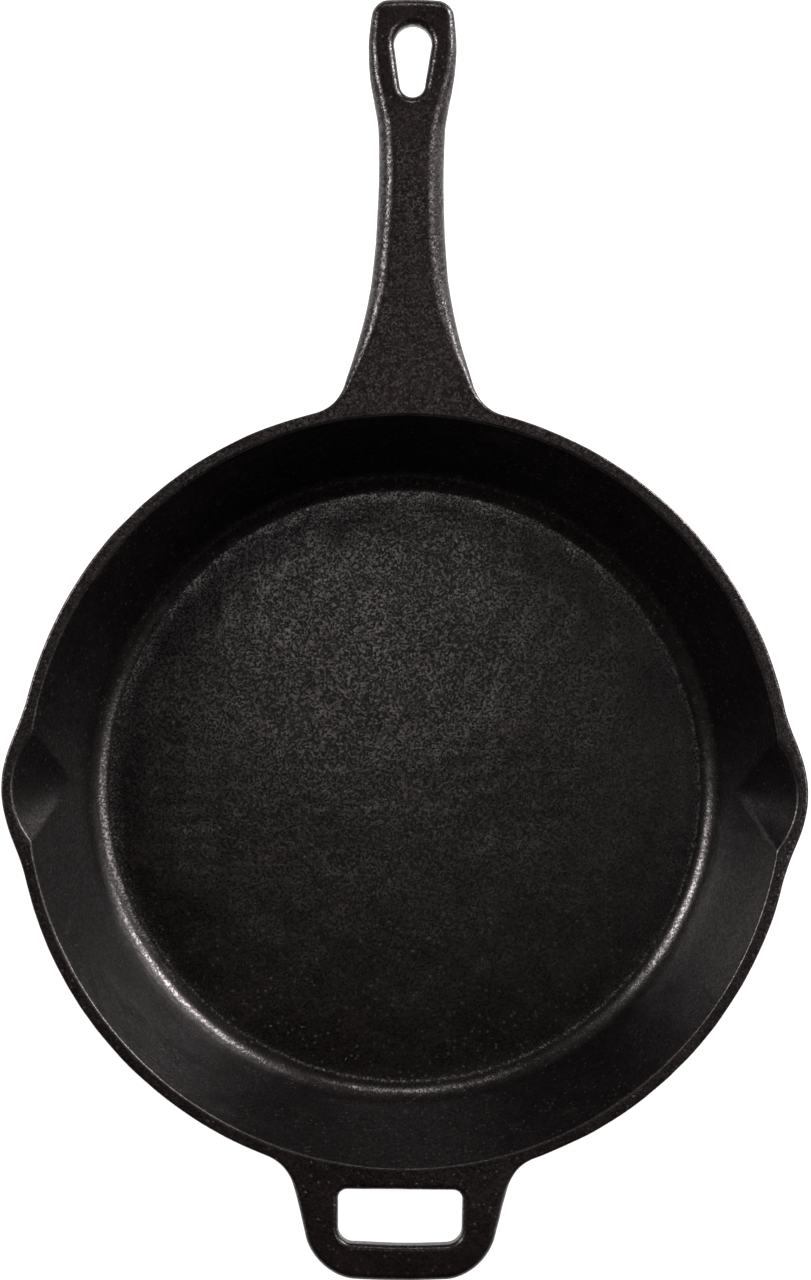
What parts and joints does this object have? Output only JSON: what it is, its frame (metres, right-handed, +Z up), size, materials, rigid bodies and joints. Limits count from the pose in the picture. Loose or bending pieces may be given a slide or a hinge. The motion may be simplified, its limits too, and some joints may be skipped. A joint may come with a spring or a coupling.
{
  "type": "cast iron skillet",
  "caption": "Round cast iron skillet with sloping wall, pouring spouts on both sides, a long handle with a hang hole and a looped helper handle.",
  "frame": {"origin": "centre of the flat base, on the surface that the skillet stands on", "axes": "+Z up out of the pan, +Y from the pan's centre towards the long handle, +X towards the right-hand spout when the handle points away"},
  "size_m": [0.3174, 0.5006, 0.0661],
  "materials": {
    "seasoned_iron": "seasoned grey iron, fine as-cast grain, satin"
  },
  "bodies": {
    "root": {"pan_body": "seasoned_iron", "long_handle": "seasoned_iron", "helper_handle": "seasoned_iron"}
  },
  "joints": []
}
